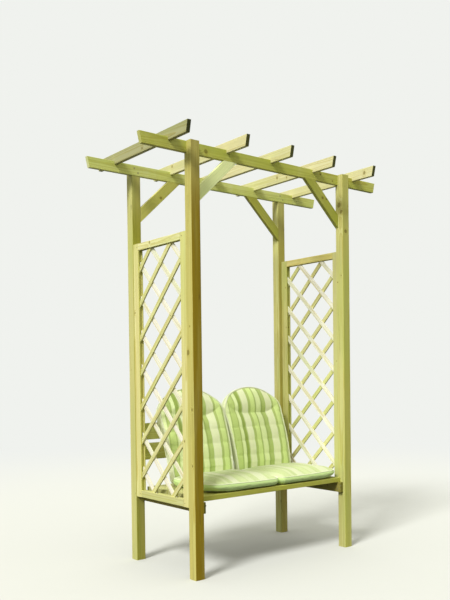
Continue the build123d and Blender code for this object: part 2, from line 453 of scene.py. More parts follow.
# Painted shade in the front face alone, which stands in shade; on the boards that are named it fades off
# towards the top
FRONT_PAINTED_SHADE = (0.90, 0.93, 0.54)
FRONT_PAINTED_SHADES = {
    "front_left_post": (0.48, 0.37, 0.00),
    "back_left_post": (0.66, 0.65, 0.20),
    "back_right_post": (0.78, 0.68, 0.42),
    "front_left_brace": (1.00, 1.00, 1.00),
}
# How much of the painted front shade fades off towards the top, and the heights in metres where that fade
# starts and ends
TOP_FADE_SHARE, TOP_FADE_FROM, TOP_FADE_TO = 0.6, 1.80, 2.15
INNER_SLATS, OUTER_SLATS = (1.42, 1.40, 2.60), (1.16, 1.15, 1.18)


def finish_wood(shader, colour, made):
    set_inputs(shader.inputs, {
        "Base Color": colour,
        "Roughness": made["Roughness"],
        "Specular IOR Level": 0.3,
        "Normal": bumped(made["Height"], 0.7, 0.0006),
    })


def paint_front_shade(colour, place, front_shade_tint, fade_at_top):
    """Painted shade on the front face, patchy, and on some boards fading off towards the top; the last argument
    is how much of it fades there.
    """
    front = smooth_step(facing(tree_of(place), -Y), 0.3, 0.9)
    uneven = smooth_step(stretched_noise(place, (22.0, 22.0, 1.6), detail=3.0), 0.25, 0.6)
    shade_kept = scale_add(smooth_step(parts_of(place)["Z"], TOP_FADE_FROM, TOP_FADE_TO), -fade_at_top, 1.0)
    share = times(front, scale_add(uneven, 0.4, 0.6), shade_kept)
    return mix_colours(share, colour, multiplied(colour, front_shade_tint))


def board_material(name, seed, grain, knot):
    """Pine for one straight board, with its own pith, knots and tint, and painted shade on its front face and
    its end faces.
    """
    chance = random.Random(PITH_SEED + seed)
    material, tree, shader = new_material(f"pine_{name}")
    place = texture_place(tree)
    along, across = board_directions(name)
    turn = Matrix((along, across, along.cross(across)))
    low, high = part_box(name)
    on_board = {"Vector": place, "Location": -(turn @ ((low + high) / 2)), "Rotation": turn.to_euler()}
    pith_spread = 0.022
    pith_across = chance.uniform(-pith_spread, pith_spread)
    if name.endswith("post"):
        pith_through = chance.uniform(-pith_spread, pith_spread)
    else:
        pith_through = chance.choice((-1, 1)) * chance.uniform(0.018, 0.06)
    nearest = NO_KNOT
    for middle, way, radius in board_knots(name, seed):
        nearest = use_group(tree, knot, {
            "Place": place, "Centre": middle, "Open": OPEN_ACROSS[way], "Radius": radius, "Other": nearest,
        })["Knot"]
    end_grain = smooth_step(do_math("ABSOLUTE", facing(tree, along)), 0.80, 0.92)
    # Rafters get fully darkened end faces as painted shade, beams none, and the other boards a little, as end
    # grain
    end_grain_and_shade = 1.0 if name.startswith("rafter") else 0.0 if name.endswith("beam") else 0.3
    made = use_group(tree, grain, {
        "Place": add_node(tree, "ShaderNodeMapping", on_board).outputs["Vector"],
        "Pith": (0.0, pith_across, pith_through),
        "Seed": float(seed),
        "Knot": nearest,
        "Cracks": 1.0 if name.endswith(("post", "beam")) else 0.35,
        "End grain and shade": times(end_grain, end_grain_and_shade),
    })
    colour = multiplied(made["Colour"], STAINS.get(name, (1, 1, 1)))
    # Painted shade on the front face; on the named boards it fades off towards the top
    fade_at_top = TOP_FADE_SHARE if name in FRONT_PAINTED_SHADES else 0.0
    finish_wood(shader, paint_front_shade(colour, place, FRONT_PAINTED_SHADES.get(name, FRONT_PAINTED_SHADE), fade_at_top), made)
    return material


LATTICE_ROWS = 7


def lattice_rows(side):
    """Middle of the lattice's thickness, height of its highest crossing and distance to the next one down."""
    low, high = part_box(f"{side}_trellis_lattice")
    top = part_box(f"{side}_trellis_top_rail")[0].z
    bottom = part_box(f"{side}_trellis_bottom_rail")[1].z
    pitch = (top - bottom) / LATTICE_ROWS
    return (low.x + high.x) / 2, top - pitch / 2, pitch


def lattice_material(side, sx, seed, grain):
    """Pine for two layers of crossed slats, each slat with its own grain."""
    middle_x, first, pitch = lattice_rows(side)
    half_root = math.sqrt(0.5)
    spacing = pitch * half_root
    material, tree, shader = new_material(f"pine_{side}_trellis_lattice")
    parts = parts_of(texture_place(tree))
    # Both layers have a face in the middle plane, so the wood just under the surface tells them apart
    under = scale_add(facing(tree, X), -0.001, parts["X"])
    outer = do_math("GREATER_THAN", times(do_math("SUBTRACT", under, middle_x), sx), 0.0)
    drop = do_math("SUBTRACT", parts["Z"], first)
    signed_y = times(parts["Y"], scale_add(outer, 2.0, -1.0))
    across = times(do_math("ADD", drop, signed_y), half_root)
    along = times(do_math("SUBTRACT", drop, signed_y), half_root)
    row = do_math("ROUND", do_math("DIVIDE", across, spacing))
    in_slat = do_math("SUBTRACT", across, times(row, spacing))
    through = do_math("SUBTRACT", parts["X"], middle_x)
    layer_seed = 41.0
    made = use_group(tree, grain, {
        "Place": add_node(tree, "ShaderNodeCombineXYZ", {0: along, 1: in_slat, 2: through}).outputs[0],
        "Pith": (0.0, 0.006, 0.035),
        "Seed": do_math("ADD", scale_add(outer, layer_seed, float(seed)), row),
        "Knot": NO_KNOT,
        "Cracks": 0.0,
        "End grain and shade": 0.0,
    })
    layer = mix_colours(outer, INNER_SLATS, OUTER_SLATS)
    finish_wood(shader, multiplied(made["Colour"], layer), made)
    return material


# Modelling


def set_mode(mode):
    bpy.ops.object.mode_set(mode=mode)


def deselect_all():
    """Nothing is selected and nothing is open in edit mode."""
    if bpy.context.object and bpy.context.object.mode != "OBJECT":
        set_mode("OBJECT")
    bpy.ops.object.select_all(action="DESELECT")


def make_active(piece):
    deselect_all()
    piece.select_set(True)
    bpy.context.view_layer.objects.active = piece


def edit_all():
    set_mode("EDIT")
    bpy.ops.mesh.select_all(action="SELECT")


def ends_of(piece, edge):
    return [piece.data.vertices[index].co for index in edge.vertices]


def select_parts(piece, kind, test):
    """Opens the piece in edit mode with only the vertices, edges or faces selected that pass the test."""
    set_mode("EDIT")
    bpy.ops.mesh.select_mode(type=kind)
    bpy.ops.mesh.select_all(action="DESELECT")
    set_mode("OBJECT")
    mesh = piece.data
    parts = {"VERT": mesh.vertices, "EDGE": mesh.edges, "FACE": mesh.polygons}[kind]
    for part in parts:
        if kind == "EDGE":
            middle = sum(ends_of(piece, part), Vector()) / 2
        else:
            middle = part.co if kind == "VERT" else part.center
        part.select = test(part, middle)
    if not any(part.select for part in parts):
        raise RuntimeError(f"nothing of {piece.name} was selected")
    set_mode("EDIT")


def extrude(*by):
    bpy.ops.mesh.extrude_region_move(TRANSFORM_OT_translate={"value": by})


def finish_mesh():
    """Doubles merged and faces turned outwards, back in object mode."""
    edit_all()
    bpy.ops.mesh.remove_doubles(threshold=1e-6)
    bpy.ops.mesh.normals_make_consistent(inside=False)
    set_mode("OBJECT")


def copy_of(source):
    """A copy with its own mesh."""
    piece = source.copy()
    piece.data = source.data.copy()
    bpy.context.scene.collection.objects.link(piece)
    return piece


def discard(piece):
    mesh = piece.data
    bpy.data.objects.remove(piece)
    bpy.data.meshes.remove(mesh)


def name_piece(piece, name, material):
    piece.name = piece.data.name = name
    piece.data.materials.clear()
    piece.data.materials.append(material)


def place_copies(model, places, name, material, seed):
    """Copies of a small model at (point, outward direction) places, joined to one piece."""
    chance = random.Random(seed)
    copies = []
    for point, outward in places:
        copy = copy_of(model)
        spin = Matrix.Rotation(chance.uniform(0, math.pi), 4, "Z")
        turn = Z.rotation_difference(Vector(outward)).to_matrix().to_4x4()
        copy.data.transform(Matrix.Translation(point) @ turn @ spin)
        copies.append(copy)
    make_active(copies[0])
    for copy in copies:
        copy.select_set(True)
    bpy.ops.object.join()
    piece = bpy.context.object
    name_piece(piece, name, material)
    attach(piece, "root")


# Screws, nails and staples; the sizes of each model are shares of its width


def add_cylinder(vertices, width, depth, height):
    deselect_all()
    bpy.ops.mesh.primitive_cylinder_add(
        vertices=vertices, radius=width / 2, depth=width * depth, location=(0, 0, width * height),
    )
    return bpy.context.object


def screw_model(width):
    """A countersunk head with a cross recess, its rim level with the wood."""
    thick, sunk, rounding, rim_width, arm_depth, recess = 0.2, -0.06, 0.035, 0.18, 0.42, 0.11
    model = add_cylinder(24, width, thick, sunk)
    under_top = width * (sunk + thick / 2) - LEVEL
    select_parts(model, "EDGE", lambda edge, middle: min(end.z for end in ends_of(model, edge)) > under_top)
    bpy.ops.mesh.bevel(offset=width * rounding, segments=2, affect="EDGES")
    set_mode("OBJECT")
    top = max(vertex.co.z for vertex in model.data.vertices)
    select_parts(model, "FACE", lambda face, middle: face.normal.z > 0.99 and middle.z > top - LEVEL)
    bpy.ops.mesh.inset(thickness=width * rim_width)

    def between_arms(vertex, middle):
        turned = math.degrees(math.atan2(middle.y, middle.x)) % 90
        return middle.z > top - LEVEL and middle.xy.length < 0.36 * width and 20 < turned < 70

    def in_recess(face, middle):
        return face.normal.z > 0.99 and middle.xy.length < LEVEL and middle.z > top - LEVEL

    select_parts(model, "VERT", between_arms)
    bpy.ops.transform.resize(value=(arm_depth, arm_depth, 1), center_override=(0, 0, top))
    select_parts(model, "FACE", in_recess)
    extrude(0, 0, -width * recess)
    bpy.ops.transform.resize(value=(0.7, 0.7, 1), center_override=(0, 0, 0))
    finish_mesh()
    return model


def nail_model(width):
    """A small domed nail head."""
    model = add_cylinder(16, width, 0.3, 0)
    select_parts(model, "FACE", lambda face, middle: face.normal.z > 0.99)
    for inset, lift in ((0.14, 0.07), (0.15, 0.03)):
        bpy.ops.mesh.inset(thickness=width * inset)
        bpy.ops.transform.translate(value=(0, 0, width * lift))
    finish_mesh()
    return model


def staple_model(crown):
    """A staple's rounded crown, its legs turned down into the wood."""
    deselect_all()
    bpy.ops.mesh.primitive_cube_add(size=1, location=(0, 0, 0))
    model = bpy.context.object
    wire = crown * 0.12
    set_mode("EDIT")
    bpy.ops.transform.resize(value=(crown - 2 * wire, wire, wire * 0.8))
    bpy.ops.transform.translate(value=(0, 0, wire * 0.2))
    for way in (-1, 1):
        select_parts(model, "FACE", lambda face, middle: face.normal.x * way > 0.9)
        extrude(way * wire, 0, -wire * 0.5)
        extrude(way * wire * 0.2, 0, -wire)
    edit_all()
    bpy.ops.mesh.bevel(offset=wire * 0.2, segments=2, affect="EDGES")
    finish_mesh()
    return model


def steel_material(fixings):
    material, tree, shader = new_material("zinc_plated_steel")
    spots = stretched_noise(texture_place(tree), (900.0,) * 3, detail=3.0)
    set_inputs(shader.inputs, {
        "Base Color": mix_colours(smooth_step(spots, 0.5, 0.75), fixings.steel, dimmed(fixings.steel, 0.45)),
        "Roughness": scale_add(spots, 0.35, 0.28),
        "Metallic": 1.0,
        "Normal": bumped(spots, 0.3, 0.0002),
    })
    return material


def part_way(low, high, share):
    return low + (high - low) * share


def middle_of(name):
    low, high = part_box(name)
    return (low + high) / 2


def face_of(low, high, way):
    return high if way > 0 else low


def seat_board_places():
    for number in range(1, 6):
        low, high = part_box(f"seat_board_{number}")
        for side, _ in SIDES:
            x = middle_of(f"{side}_seat_bearer").x
            for share in (0.25, 0.75):
                yield (x, part_way(low.y, high.y, share), high.z), Z


def back_board_places():
    from_end = 0.011
    for number in (1, 2):
        low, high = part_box(f"back_board_{number}")
        for _, sx in SIDES:
            for share in (0.25, 0.75):
                yield (sx * (high.x - from_end), low.y, part_way(low.z, high.z, share)), -Y


def beam_places():
    for end, sy in ENDS:
        low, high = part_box(f"{end}_beam")
        for side, _ in SIDES:
            post_low, post_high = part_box(f"{end}_{side}_post")
            for share in (0.3, 0.7):
                x = part_way(post_low.x, post_high.x, share)
                yield (x, face_of(low.y, high.y, -sy), part_way(low.z, high.z, 1 - share)), -sy * Y


def rafter_places():
    for number in range(1, 6):
        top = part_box(f"rafter_{number}")[1].z
        for end, _ in ENDS:
            yield (middle_of(f"rafter_{number}").x, middle_of(f"{end}_beam").y, top), Z


def brace_places():
    for end, _ in ENDS:
        for side, sx in SIDES:
            low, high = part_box(f"{end}_{side}_brace")
            run, climb = high.x - low.x, high.z - low.z
            outward = Vector((-sx * climb, 0, -run)).normalized()
            for share in (0.13, 0.87):
                x = face_of(low.x, high.x, sx) - sx * run * share
                yield (x, (low.y + high.y) / 2, low.z + climb * share), outward


def bearer_places():
    for side, sx in SIDES:
        low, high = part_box(f"{side}_seat_bearer")
        for end, _ in ENDS:
            y = middle_of(f"{end}_{side}_post").y
            for off, share in ((-0.012, 0.7), (0.012, 0.3)):
                yield (face_of(low.x, high.x, -sx), y + off, part_way(low.z, high.z, share)), -sx * X


def crossing_places(side, sx):
    """Crossings of slats that are clear of the frame, on the outer face."""
    _, first, pitch = lattice_rows(side)
    low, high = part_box(f"{side}_trellis_lattice")
    columns = [(0, 0, LATTICE_ROWS)]
    for way in (-1, 1):
        columns += [(way / 2, 0.5, LATTICE_ROWS - 1), (way, 0, LATTICE_ROWS)]
    for off, start, rows in columns:
        for row in range(rows):
            yield (face_of(low.x, high.x, sx), off * pitch, first - (row + start) * pitch), sx * X


def corner_places(side, sx):
    """Corners of the trellis frame, where the rails' stub tenons end."""
    inwards = 0.012
    for end, sy in ENDS:
        low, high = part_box(f"{side}_trellis_{end}_stile")
        y = (low.y + high.y) / 2 - sy * inwards
        for level in ("top", "bottom"):
            yield (face_of(low.x, high.x, sx), y, middle_of(f"{side}_trellis_{level}_rail").z), sx * X


# Cushions; a blank lies flat with its front or foot edge at y = 0, and is between its rims in z


def points_of(piece):
    flat = np.empty(len(piece.data.vertices) * 3)
    piece.data.vertices.foreach_get("co", flat)
    return flat.reshape(-1, 3)


def move_points(piece, points):
    piece.data.vertices.foreach_set("co", points.ravel())
    piece.data.update()


def round_corners(blank, radius, segments, test):
    select_parts(blank, "VERT", lambda vertex, middle: test(middle))
    bpy.ops.mesh.bevel(offset=radius, segments=segments, affect="VERTICES")


def finish_blank(blank, rims, cuts, draw_in, wide, tall):
    """A flat outline whose long edges are cut up and whose sides are drawn in, thickened from rim to rim."""
    def long_edge(edge, middle):
        first, second = ends_of(blank, edge)
        return (first - second).length > 0.1

    select_parts(blank, "EDGE", long_edge)
    bpy.ops.mesh.subdivide(number_cuts=cuts)
    set_mode("OBJECT")
    points, half = points_of(blank), tall / 2
    along = np.clip((points[:, 1] - half) / half, -1, 1)
    points[:, 0] *= 1 - draw_in / (wide / 2) * (1 - along**2)
    move_points(blank, points)
    low, high = rims
    edit_all()
    bpy.ops.transform.translate(value=(0, 0, low))
    extrude(0, 0, high - low)
    finish_mesh()
    return blank


def seat_blank(wide, deep, rims):
    """Outline of the right seat cushion, tight at the corner by the other cushion and wide on the outside."""
    joint_corner, outer_corner, back_corner, draw_in = 0.042, 0.080, 0.018, 0.004
    deselect_all()
    bpy.ops.mesh.primitive_plane_add(size=1, location=(0, 0.5, 0))
    blank = bpy.context.object
    bpy.ops.object.transform_apply(location=True)
    set_mode("EDIT")
    bpy.ops.transform.resize(value=(wide, deep, 1), center_override=(0, 0, 0))
    for way, corner in ((-1, joint_corner), (1, outer_corner)):
        round_corners(blank, corner, 14, lambda point: point.y < CLOSE and way * point.x > wide / 2 - CLOSE)
    round_corners(blank, back_corner, 8, lambda point: point.y > deep - CLOSE)
    return finish_blank(blank, rims, 19, draw_in, wide, deep)


def back_blank(wide, foot, foot_shift, shoulder, crown, rims):
    """Outline of a back cushion: a half ellipse over sides that run down to the foot."""
    foot_corner, draw_in = 0.030, 0.003
    deselect_all()
    bpy.ops.mesh.primitive_circle_add(vertices=96, radius=1, fill_type="NGON", location=(0, 0, 0))
    blank = bpy.context.object
    edit_all()
    bpy.ops.transform.resize(value=(wide / 2, crown, 1), center_override=(0, 0, 0))
    bpy.ops.mesh.bisect(plane_co=(0, 0, 0), plane_no=(0, 1, 0), clear_inner=True)
    edit_all()
    bpy.ops.transform.translate(value=(0, shoulder, 0))
    select_parts(blank, "EDGE", lambda edge, middle: middle.y < shoulder + CLOSE)
    extrude(0, -shoulder, 0)
    bpy.ops.transform.resize(value=(foot / wide, 1, 1), center_override=(0, 0, 0))
    bpy.ops.transform.translate(value=(foot_shift, 0, 0))
    round_corners(blank, foot_corner, 8, lambda point: point.y < CLOSE)

    def shoulder_line(edge, middle):
        return abs(middle.y - shoulder) < CLOSE and abs(middle.x) < wide / 4

    select_parts(blank, "EDGE", shoulder_line)
    bpy.ops.mesh.dissolve_edges()
    return finish_blank(blank, rims, 17, draw_in, wide, shoulder)


def off_rims(point, rims):
    return min(abs(point.z - rim) for rim in rims) > CLOSE


def make_piping(blank, rims, thick, outset, form):
    """Round cords along the rims of a blank, shaped like the cushion."""
    make_active(blank)
    bpy.ops.object.duplicate()
    cord = bpy.context.object
    edit_all()
    bpy.ops.mesh.delete(type="ONLY_FACE")
    select_parts(cord, "EDGE", lambda edge, middle: off_rims(middle, rims))
    bpy.ops.mesh.delete(type="EDGE")
    set_mode("OBJECT")
    points = points_of(cord)
    low, high = points.min(0), points.max(0)
    middle = (low + high) / 2
    for axis in (0, 1):
        half = (high[axis] - low[axis]) / 2
        points[:, axis] = middle[axis] + (points[:, axis] - middle[axis]) * (half + outset) / half
    move_points(cord, form(points))
    bpy.ops.object.convert(target="CURVE")
    cord = bpy.context.object
    cord.data.bevel_depth = thick / 2
    cord.data.bevel_resolution = 3
    bpy.ops.object.convert(target="MESH")
    bpy.ops.object.shade_smooth()
    return bpy.context.object


def rim_points(blank, rims):
    """Points every few millimetres along the two rims."""
    found = []
    for edge in blank.data.edges:
        first, second = ends_of(blank, edge)
        if abs(first.z - second.z) > LEVEL or off_rims(first, rims):
            continue
        steps = max(2, int((first - second).length / 0.002))
        found += [first.lerp(second, step / steps) for step in range(steps)]
    return np.array(found)


def nearest_distance(points, others):
    """Distance from each point to the nearest of the others, which are taken a block at a time."""
    best = np.full(len(points), np.inf)
    block = 64
    for start in range(0, len(others), block):
        gaps = np.linalg.norm(points[:, None, :] - others[None, start:start + block, :], axis=2)
        best = np.minimum(best, gaps.min(1))
    return best


def rise(share):
    """From 0 at the edge to 1 at and beyond the full share, steep at first and then level."""
    return 1 - (1 - np.clip(share, 0, 1)) ** 2


def ease(share):
    """From 0 to 1, level at both ends."""
    share = np.clip(share, 0, 1)
    return share**2 * (3 - 2 * share)


def share_between(rims, points):
    """0 at the lower rim and under it, 1 at the upper rim and over it."""
    return np.clip((points[:, 2] - rims[0]) / (rims[1] - rims[0]), 0, 1)


def apply_modifier(piece, kind, **settings):
    modifier = piece.modifiers.new(kind.title(), kind)
    set_values(modifier, settings)
    bpy.ops.object.modifier_apply(modifier=modifier.name)


# The covers' cloth as the simulation takes it
FILLED_CLOTH = {
    "quality": 6,
    "mass": 0.25,
    "tension_stiffness": 18,
    "compression_stiffness": 12,
    "shear_stiffness": 6,
    "bending_stiffness": 0.6,
    "use_pressure": True,
    "shrink_min": -0.012,
    "pin_stiffness": 1,
}


def blow_up(blank, cloth, firmness):
    """Lets the filling swell the cloth, which holds where it is sewn firmly."""
    sewn = blank.vertex_groups.new(name="sewn")
    for index, value in enumerate(firmness):
        if value > 0.02:
            sewn.add([index], float(value), "REPLACE")
    filling = blank.modifiers.new("Filling", "CLOTH")
    set_values(filling.settings, FILLED_CLOTH)
    set_values(filling.settings, {"uniform_pressure_force": cloth.pressure, "vertex_group_mass": sewn.name})
    filling.settings.effector_weights.gravity = 0
    set_values(filling.point_cache, {"frame_start": 1, "frame_end": cloth.frames})
    scene = bpy.context.scene
    for number in range(1, cloth.frames + 1):
        scene.frame_set(number)
    make_active(blank)
    bpy.ops.object.modifier_apply(modifier=filling.name)
    scene.frame_set(1)
    blank.vertex_groups.clear()


def stuff_cushion(blank, cloth, rims, form, seams, cap, keep_in):
    """Turns a blank into a filled cushion: an even mesh, its rough form, cloth blown up between its sewn lines,
    a limit on how far each point may move, and one subdivision. seams(points) is how firmly each is sewn."""
    def hold(points):
        keep_in(points)
        move_points(blank, points)

    size = cloth.mesh_size
    sewn_rim = rim_points(blank, rims)
    make_active(blank)
    apply_modifier(blank, "REMESH", mode="VOXEL", voxel_size=size)
    flat = points_of(blank)
    at_rim = 1 - np.clip((nearest_distance(flat, sewn_rim) - 0.5 * size) / (0.9 * size), 0, 1)
    lump_height, lumps = 0.0025, 9
    start = form(flat)
    for index, (x, y, z) in enumerate(flat):
        lump = noise.noise(Vector((x * lumps, y * lumps, z * lumps + 4)))
        start[index, 2] += lump_height * lump * (1 - at_rim[index])
    hold(start)
    write_cloth_place(blank, flat, rims)
    blow_up(blank, cloth, np.maximum(at_rim, seams(flat)))
    moved = points_of(blank) - start
    far = np.linalg.norm(moved, axis=1)
    limit = cap(flat)
    hold(start + moved * (limit * np.tanh(far / limit) / np.maximum(far, 1e-9))[:, None])
    apply_modifier(blank, "SUBSURF", levels=1, render_levels=1)
    hold(points_of(blank))
    bpy.ops.object.shade_smooth()


def write_cloth_place(piece, flat, rims):
    """Keeps where each point lies on the cloth: across and along it in metres, and 1 on the side band."""
    low, high = rims
    inside = np.clip(np.minimum(flat[:, 2] - low, high - flat[:, 2]) / 0.002, 0, 1)
    values = np.column_stack((flat[:, 0], flat[:, 1] + flat[:, 2] * inside, inside)).astype(np.float32)
    attribute = piece.data.attributes.new("cloth_place", "FLOAT_VECTOR", "POINT")
    attribute.data.foreach_set("vector", values.ravel())


def turn_stripes(piece, way):
    """Turns the stripes of a mirrored cushion back the right way."""
    attribute = piece.data.attributes["cloth_place"]
    values = np.empty(len(piece.data.vertices) * 3, np.float32)
    attribute.data.foreach_get("vector", values)
    values[0::3] *= way
    attribute.data.foreach_set("vector", values)


# Stripes across the cloth of a cushion, from its left edge, in millimetres
STRIPES = (
    ("narrow", 34), ("line", 9), ("leaf", 33), ("line", 10), ("narrow", 21), ("deep", 19), ("soft", 12),
    ("pale", 45), ("soft", 20), ("medium", 33), ("line", 13), ("narrow", 33), ("deep", 15), ("soft", 27),
    ("pale", 57), ("soft", 18), ("medium", 39), ("line", 10), ("narrow", 16),
)
STRIPED_WIDTH = sum(width for _, width in STRIPES)
SOFT_EDGE, ONE_STOP_WIDTH = 1.5, 17
THREAD = 0.0016


def blend(first, second, share):
    return tuple(part_way(one, other, share) for one, other in zip(first, second))


def stripe_stops(colours):
    """Places and colours of the stripes for a colour ramp, each stripe soft at its edges."""
    stops, start = [], 0
    for kind, width in STRIPES:
        places = (start + SOFT_EDGE, start + width - SOFT_EDGE)
        if width < ONE_STOP_WIDTH:
            places = (start + width / 2,)
        stops += [(place / STRIPED_WIDTH, colours[kind]) for place in places]
        start += width
    return stops


def cloth_material(cloth, name, bleached, tone, band):
    """Woven stripes on the faces and a plain strip round the sides in the band's colour. bleached is how far
    the dark stripes have faded, and tone is how light the striped faces are."""
    material, tree, shader = new_material(name)
    place = add_node(tree, "ShaderNodeAttribute", attribute_name="cloth_place").outputs["Vector"]
    parts = parts_of(place)
    medium = blend(cloth.medium, cloth.pale, 0.5 * bleached)
    deep = blend(cloth.deep, medium, bleached)
    colours = {
        "pale": cloth.pale,
        "narrow": blend(medium, cloth.pale, 0.5),
        "medium": medium,
        "leaf": blend(medium, deep, 0.45),
        "soft": blend(medium, deep, 0.6),
        "line": blend(medium, deep, 0.9),
        "deep": deep,
    }
    waver = stretched_noise(place, (9.0,) * 3, detail=1.0)
    across = scale_add(waver, 0.003, parts["X"])
    stripes = colour_ramp(scale_add(across, 1000 / STRIPED_WIDTH, 0.5), stripe_stops(colours))
    sewn = mix_colours(smooth_step(parts["Z"], 0.35, 0.65), multiplied(stripes, (tone,) * 3), band)
    weave = times(*(do_math("SINE", times(parts[axis], 2 * math.pi / THREAD)) for axis in "XY"))
    slub = stretched_noise(place, (420.0, 16.0, 420.0))
    soil = stretched_noise(place, (6.0,) * 3, detail=3.0)
    colour = shaded(sewn, (slub, 0.14, 0.93), (soil, 0.10, 0.95), (weave, 0.05, 1.0))
    finish_cloth(shader, colour, scale_add(slub, 0.8, weave), 0.0005)
    return material


def piping_material(cloth):
    """Pale cloth wound round the piping cord."""
    material, tree, shader = new_material("piping_cloth")
    place = texture_place(tree)
    inputs = {"Vector": place, "Scale": 260.0, "Distortion": 1.0}
    twill = add_node(tree, "ShaderNodeTexWave", inputs, bands_direction="DIAGONAL").outputs["Fac"]
    soil = stretched_noise(place, (14.0,) * 3, detail=3.0)
    finish_cloth(shader, shaded(cloth.piping, (soil, 0.16, 0.90), (twill, 0.08, 0.95)), twill, 0.0003)
    return material


def finish_cloth(shader, colour, height, depth):
    set_inputs(shader.inputs, {
        "Base Color": colour,
        "Roughness": 0.88,
        "Specular IOR Level": 0.25,
        "Sheen Weight": 0.15,
        "Sheen Roughness": 0.5,
        "Normal": bumped(height, 0.5, depth),
    })


def place_pair(patterns, finishes, kind, mirrored, placing):
    """The left and right cushions of a kind, made from the finished patterns of the cover and its piping, which
    are then discarded. placing takes a pattern into the room between two corners."""
    for side, sx in SIDES:
        name = f"{side}_{kind}_cushion"
        way = sx if mirrored else 1
        place = placing(*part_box(name)) @ Matrix.Scale(way, 4, X)
        cover, piping = (copy_of(pattern) for pattern in patterns)
        for piece, label, finish in zip((cover, piping), ("cover", "piping"), finishes):
            piece.data.transform(place)
            if way < 0:
                piece.data.flip_normals()
            name_piece(piece, f"{name}_{label}", finish)
            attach(piece, "root")
        turn_stripes(cover, way)
        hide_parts(name)
    for pattern in patterns:
        discard(pattern)


# Operators


class PergolaPineFinish(bpy.types.Operator):
    """Give every board its own treated pine"""

    bl_idname = "pergola.pine_finish"
    bl_label = "Pine finish"

    def execute(self, context):
        grain, knot = grain_group(context.scene.pergola_pine), knot_group()
        boards = sorted(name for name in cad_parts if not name.endswith("cushion"))
        if len(boards) < 30:
            raise RuntimeError("the frame has too few boards")
        for seed, name in enumerate(boards):
            if name.endswith("lattice"):
                side, sx = next(item for item in SIDES if name.startswith(item[0]))
                material = lattice_material(side, sx, seed, grain)
            else:
                material = board_material(name, seed, grain, knot)
            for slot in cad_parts[name].material_slots:
                slot.material = material
        return {"FINISHED"}


class PergolaScrews(bpy.types.Operator):
    """Put countersunk screws where the boards are held"""

    bl_idname = "pergola.screws"
    bl_label = "Screws"

    def execute(self, context):
        fixings = context.scene.pergola_fixings
        steel = steel_material(fixings)
        model = screw_model(fixings.screw_head)
        for seed, (name, places) in enumerate((
            ("seat_board_screws", seat_board_places()),
            ("back_board_screws", back_board_places()),
            ("beam_screws", beam_places()),
            ("rafter_screws", rafter_places()),
            ("brace_screws", brace_places()),
            ("bearer_screws", bearer_places()),
        )):
            place_copies(model, places, name, steel, seed)
        discard(model)
        return {"FINISHED"}


class PergolaTrellisFixings(bpy.types.Operator):
    """Put staples at the lattice crossings and nails at the corners of the trellis frames"""

    bl_idname = "pergola.trellis_fixings"
    bl_label = "Trellis fixings"

    def execute(self, context):
        fixings = context.scene.pergola_fixings
        steel = bpy.data.materials.get("zinc_plated_steel") or steel_material(fixings)
        staple = staple_model(fixings.staple_crown)
        nail = nail_model(fixings.nail_head)
        for seed, (side, sx) in enumerate(SIDES):
            crossings, corners = crossing_places(side, sx), corner_places(side, sx)
            place_copies(staple, crossings, f"{side}_lattice_staples", steel, STAPLE_SEED + seed)
            place_copies(nail, corners, f"{side}_trellis_nails", steel, NAIL_SEED + seed)
        discard(staple)
        discard(nail)
        return {"FINISHED"}


def cushion_finishes(cloth, name, bleached, tone, band):
    striped = cloth_material(cloth, name, bleached, tone, band)
    return striped, bpy.data.materials.get("piping_cloth") or piping_material(cloth)


